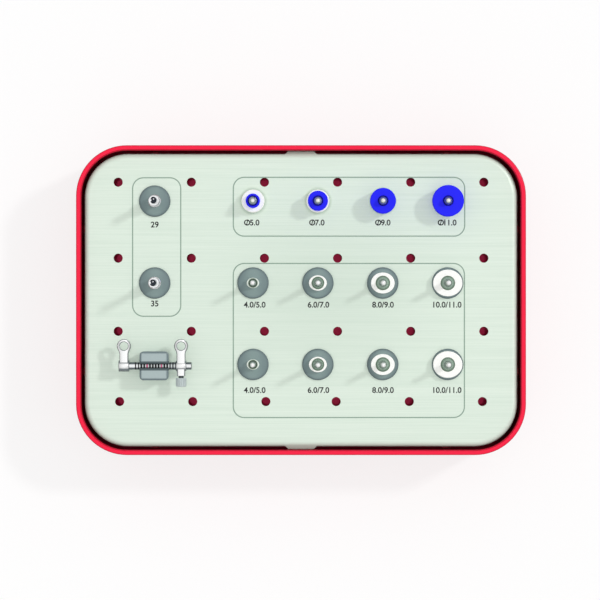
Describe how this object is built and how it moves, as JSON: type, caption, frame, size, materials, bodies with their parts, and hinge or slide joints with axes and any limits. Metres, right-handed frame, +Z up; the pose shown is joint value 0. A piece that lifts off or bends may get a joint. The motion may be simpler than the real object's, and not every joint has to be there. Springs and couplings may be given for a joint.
{
  "type": "guided surgery kit",
  "caption": "Open moulded case with a lift-out sheet tray that holds guide drills, ring spacers, single guide pins and a sliding-ring drill guide.",
  "frame": {"origin": "middle of the surface that the case's feet stand on", "axes": "+X along the case, towards the larger spacers and pins; +Y across it, towards the spacer row; +Z up"},
  "size_m": [0.1574, 0.1084, 0.0585],
  "materials": {
    "case_red": "gloss moulded",
    "tray_steel": "fine brushed",
    "silicone": "matt silicone",
    "holder_grey": "satin silicone",
    "white_plastic": "satin",
    "spacer_blue": "satin",
    "instrument_steel": "polished",
    "fastener_steel": "turned"
  },
  "bodies": {
    "case": {"case_base": "case_red"},
    "tray": {"tray": "tray_steel", "grommet_drill_29": "silicone", "grommet_drill_35": "silicone", "grommet_pin_4_5_rear": "silicone", "grommet_pin_6_7_rear": "silicone", "grommet_pin_8_9_rear": "silicone", "grommet_pin_10_11_rear": "silicone", "grommet_pin_4_5_front": "silicone", "grommet_pin_6_7_front": "silicone", "grommet_pin_8_9_front": "silicone", "grommet_pin_10_11_front": "silicone", "spacer_base_5": "white_plastic", "spacer_post_5": "instrument_steel", "spacer_base_7": "white_plastic", "spacer_post_7": "instrument_steel", "spacer_base_9": "white_plastic", "spacer_post_9": "instrument_steel", "spacer_base_11": "white_plastic", "spacer_post_11": "instrument_steel", "spacer_nuts": "fastener_steel", "guide_holder": "holder_grey", "holder_screws": "fastener_steel"},
    "drill_29": {"guide_drill_29": "instrument_steel"},
    "drill_35": {"guide_drill_35": "instrument_steel"},
    "spacer_5": {"spacer_ring_5": "spacer_blue"},
    "spacer_7": {"spacer_ring_7": "spacer_blue"},
    "spacer_9": {"spacer_ring_9": "spacer_blue"},
    "spacer_11": {"spacer_ring_11": "spacer_blue"},
    "pin_4_5_rear": {"pin_post_4_5_rear": "instrument_steel", "pin_disc_4_5_rear": "white_plastic"},
    "pin_6_7_rear": {"pin_post_6_7_rear": "instrument_steel", "pin_disc_6_7_rear": "white_plastic"},
    "pin_8_9_rear": {"pin_post_8_9_rear": "instrument_steel", "pin_disc_8_9_rear": "white_plastic"},
    "pin_10_11_rear": {"pin_post_10_11_rear": "instrument_steel", "pin_disc_10_11_rear": "white_plastic"},
    "pin_4_5_front": {"pin_post_4_5_front": "instrument_steel", "pin_disc_4_5_front": "white_plastic"},
    "pin_6_7_front": {"pin_post_6_7_front": "instrument_steel", "pin_disc_6_7_front": "white_plastic"},
    "pin_8_9_front": {"pin_post_8_9_front": "instrument_steel", "pin_disc_8_9_front": "white_plastic"},
    "pin_10_11_front": {"pin_post_10_11_front": "instrument_steel", "pin_disc_10_11_front": "white_plastic"},
    "multi_guide": {"guide_bar": "instrument_steel", "fixed_ring_arm": "instrument_steel"},
    "slider": {"sliding_ring_arm": "instrument_steel"},
    "thumbscrew": {"thumbscrew": "instrument_steel"}
  },
  "joints": [
    {"name": "tray_lift", "type": "slide", "parent": "case", "child": "tray", "axis": [0, 0, 1], "range_m": [0, 0.03]},
    {"name": "drill_29_lift", "type": "slide", "parent": "tray", "child": "drill_29", "axis": [0, 0, 1], "range_m": [0, 0.016]},
    {"name": "drill_35_lift", "type": "slide", "parent": "tray", "child": "drill_35", "axis": [0, 0, 1], "range_m": [0, 0.016]},
    {"name": "spacer_5_lift", "type": "slide", "parent": "tray", "child": "spacer_5", "axis": [0, 0, 1], "range_m": [0, 0.012]},
    {"name": "spacer_7_lift", "type": "slide", "parent": "tray", "child": "spacer_7", "axis": [0, 0, 1], "range_m": [0, 0.012]},
    {"name": "spacer_9_lift", "type": "slide", "parent": "tray", "child": "spacer_9", "axis": [0, 0, 1], "range_m": [0, 0.012]},
    {"name": "spacer_11_lift", "type": "slide", "parent": "tray", "child": "spacer_11", "axis": [0, 0, 1], "range_m": [0, 0.012]},
    {"name": "pin_4_5_rear_lift", "type": "slide", "parent": "tray", "child": "pin_4_5_rear", "axis": [0, 0, 1], "range_m": [0, 0.014]},
    {"name": "pin_6_7_rear_lift", "type": "slide", "parent": "tray", "child": "pin_6_7_rear", "axis": [0, 0, 1], "range_m": [0, 0.014]},
    {"name": "pin_8_9_rear_lift", "type": "slide", "parent": "tray", "child": "pin_8_9_rear", "axis": [0, 0, 1], "range_m": [0, 0.014]},
    {"name": "pin_10_11_rear_lift", "type": "slide", "parent": "tray", "child": "pin_10_11_rear", "axis": [0, 0, 1], "range_m": [0, 0.014]},
    {"name": "pin_4_5_front_lift", "type": "slide", "parent": "tray", "child": "pin_4_5_front", "axis": [0, 0, 1], "range_m": [0, 0.014]},
    {"name": "pin_6_7_front_lift", "type": "slide", "parent": "tray", "child": "pin_6_7_front", "axis": [0, 0, 1], "range_m": [0, 0.014]},
    {"name": "pin_8_9_front_lift", "type": "slide", "parent": "tray", "child": "pin_8_9_front", "axis": [0, 0, 1], "range_m": [0, 0.014]},
    {"name": "pin_10_11_front_lift", "type": "slide", "parent": "tray", "child": "pin_10_11_front", "axis": [0, 0, 1], "range_m": [0, 0.014]},
    {"name": "multi_guide_lift", "type": "slide", "parent": "tray", "child": "multi_guide", "axis": [0, 0, 1], "range_m": [0, 0.012], "deforming": ["guide_holder"]},
    {"name": "slider_slide", "type": "slide", "parent": "multi_guide", "child": "slider", "axis": [1, 0, 0], "range_m": [-0.002, 0.0014]},
    {"name": "thumbscrew_turn", "type": "hinge", "parent": "slider", "child": "thumbscrew", "pos_m": [-0.04177, -0.0249, 0.042], "axis": [0, -1, 0], "range_deg": [0, 360]}
  ]
}
